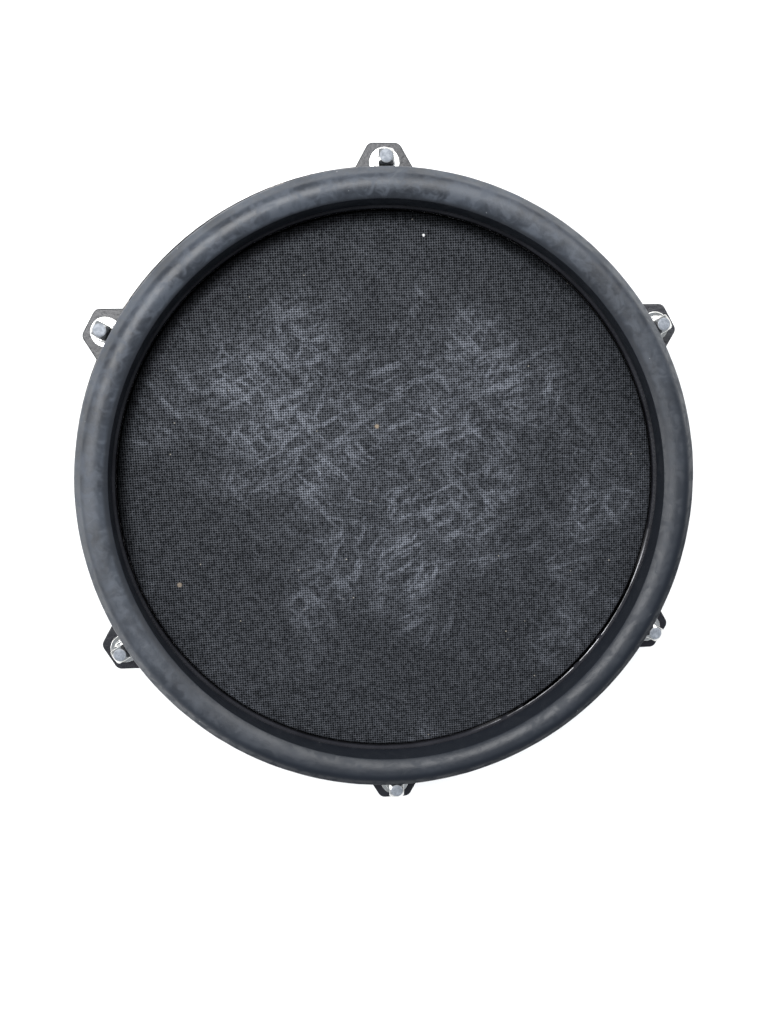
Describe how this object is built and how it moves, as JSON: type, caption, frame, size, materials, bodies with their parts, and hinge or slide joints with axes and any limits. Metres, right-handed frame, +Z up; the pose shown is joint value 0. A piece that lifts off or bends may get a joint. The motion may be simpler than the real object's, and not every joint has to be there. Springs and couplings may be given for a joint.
{
  "type": "mesh-head practice pad",
  "caption": "Round tunable mesh-head practice pad with a rubber-covered hoop, tension rods, trigger sensors, rod clamp and jack socket.",
  "frame": {"origin": "centre of the flat base, on the plane that the pad rests on, under the centre of the head", "axes": "+Z up through the playing face; +Y through the lug at 90 degrees; +X towards the rod clamp and the jack socket, midway between two lugs"},
  "size_m": [0.2416, 0.258, 0.0611],
  "materials": {
    "rim_rubber": "matt moulded rubber, dusty, with nicks and a soft sheen",
    "powder_coat": "satin black powder coat with orange peel, chipped at the edge",
    "mesh": "woven two-ply polyester mesh, scuffed by sticks",
    "aluminium": "plain extruded ring",
    "chrome": "polished plating with light pitting",
    "shell_plastic": "fine textured black moulding",
    "brass": "turned brass",
    "black_steel": "black zinc screw finish",
    "plate_steel": "zinc-plated sheet steel",
    "soft_rubber": "soft black rubber",
    "foam": "open-cell polyurethane foam",
    "ceramic": "fired silvered ceramic",
    "lead_pvc": "thin two-core lead with a soft sheath",
    "jack_plastic": "glass-filled black nylon",
    "nickel": "bright nickel plating",
    "clamp_plastic": "glass-filled black nylon block",
    "jaw_metal": "sintered steel jaw"
  },
  "bodies": {
    "pad_shell": {"shell": "shell_plastic", "lug_inserts": "brass", "mesh_head": "mesh", "base_cover": "shell_plastic", "base_screws": "black_steel", "sensor_plate": "plate_steel", "plate_grommets": "soft_rubber", "plate_screws": "plate_steel", "damping_foam": "foam", "piezo_cushion": "foam", "head_piezo_disc": "brass", "head_piezo_ceramic": "ceramic", "trigger_cone": "foam", "rim_piezo_tape": "foam", "rim_piezo_disc": "brass", "rim_piezo_ceramic": "ceramic", "head_sensor_lead": "lead_pvc", "rim_sensor_lead": "lead_pvc", "lead_grommet": "soft_rubber", "jack_contacts": "plate_steel", "jack_body": "jack_plastic", "jack_bush": "nickel", "jack_washer": "nickel", "jack_nut": "nickel", "clamp_body": "clamp_plastic", "clamp_screws": "black_steel", "clamp_nut": "plate_steel"},
    "hoop": {"counter_hoop": "powder_coat", "rim_cover": "rim_rubber", "flesh_hoop": "aluminium", "tension_washers": "chrome"},
    "rod_1": {"tension_rod_1": "chrome"},
    "rod_2": {"tension_rod_2": "chrome"},
    "rod_3": {"tension_rod_3": "chrome"},
    "rod_4": {"tension_rod_4": "chrome"},
    "rod_5": {"tension_rod_5": "chrome"},
    "rod_6": {"tension_rod_6": "chrome"},
    "jaw": {"clamp_jaw": "jaw_metal"},
    "wing_bolt": {"wing_bolt": "nickel"}
  },
  "joints": [
    {"name": "hoop_tension", "type": "slide", "parent": "pad_shell", "child": "hoop", "axis": [0, 0, 1], "range_m": [-0.002, 0.003]},
    {"name": "rod_1_turn", "type": "hinge", "parent": "hoop", "child": "rod_1", "pos_m": [0.10514, 0.0607, 0.0376], "axis": [0, 0, 1], "range_deg": [-682, 1022]},
    {"name": "rod_2_turn", "type": "hinge", "parent": "hoop", "child": "rod_2", "pos_m": [0, 0.1214, 0.0376], "axis": [0, 0, 1], "range_deg": [-682, 1022]},
    {"name": "rod_3_turn", "type": "hinge", "parent": "hoop", "child": "rod_3", "pos_m": [-0.10514, 0.0607, 0.0376], "axis": [0, 0, 1], "range_deg": [-682, 1022]},
    {"name": "rod_4_turn", "type": "hinge", "parent": "hoop", "child": "rod_4", "pos_m": [-0.10514, -0.0607, 0.0376], "axis": [0, 0, 1], "range_deg": [-682, 1022]},
    {"name": "rod_5_turn", "type": "hinge", "parent": "hoop", "child": "rod_5", "pos_m": [0, -0.1214, 0.0376], "axis": [0, 0, 1], "range_deg": [-682, 1022]},
    {"name": "rod_6_turn", "type": "hinge", "parent": "hoop", "child": "rod_6", "pos_m": [0.10514, -0.0607, 0.0376], "axis": [0, 0, 1], "range_deg": [-682, 1022]},
    {"name": "jaw_slide", "type": "slide", "parent": "pad_shell", "child": "jaw", "axis": [0, 1, 0], "range_m": [-0.00102, 0.00282]},
    {"name": "wing_bolt_turn", "type": "hinge", "parent": "jaw", "child": "wing_bolt", "pos_m": [0.082, 0.0075, 0.014], "axis": [0, 1, 0], "range_deg": [-360, 1008]}
  ],
  "couplings": [
    {"joint": "rod_1_turn", "follows": "hoop_tension", "rad_per_m": 5936.9},
    {"joint": "rod_2_turn", "follows": "hoop_tension", "rad_per_m": 5936.9},
    {"joint": "rod_3_turn", "follows": "hoop_tension", "rad_per_m": 5936.9},
    {"joint": "rod_4_turn", "follows": "hoop_tension", "rad_per_m": 5936.9},
    {"joint": "rod_5_turn", "follows": "hoop_tension", "rad_per_m": 5936.9},
    {"joint": "rod_6_turn", "follows": "hoop_tension", "rad_per_m": 5936.9},
    {"joint": "jaw_slide", "follows": "wing_bolt_turn", "m_per_rad": 0.00015915}
  ]
}
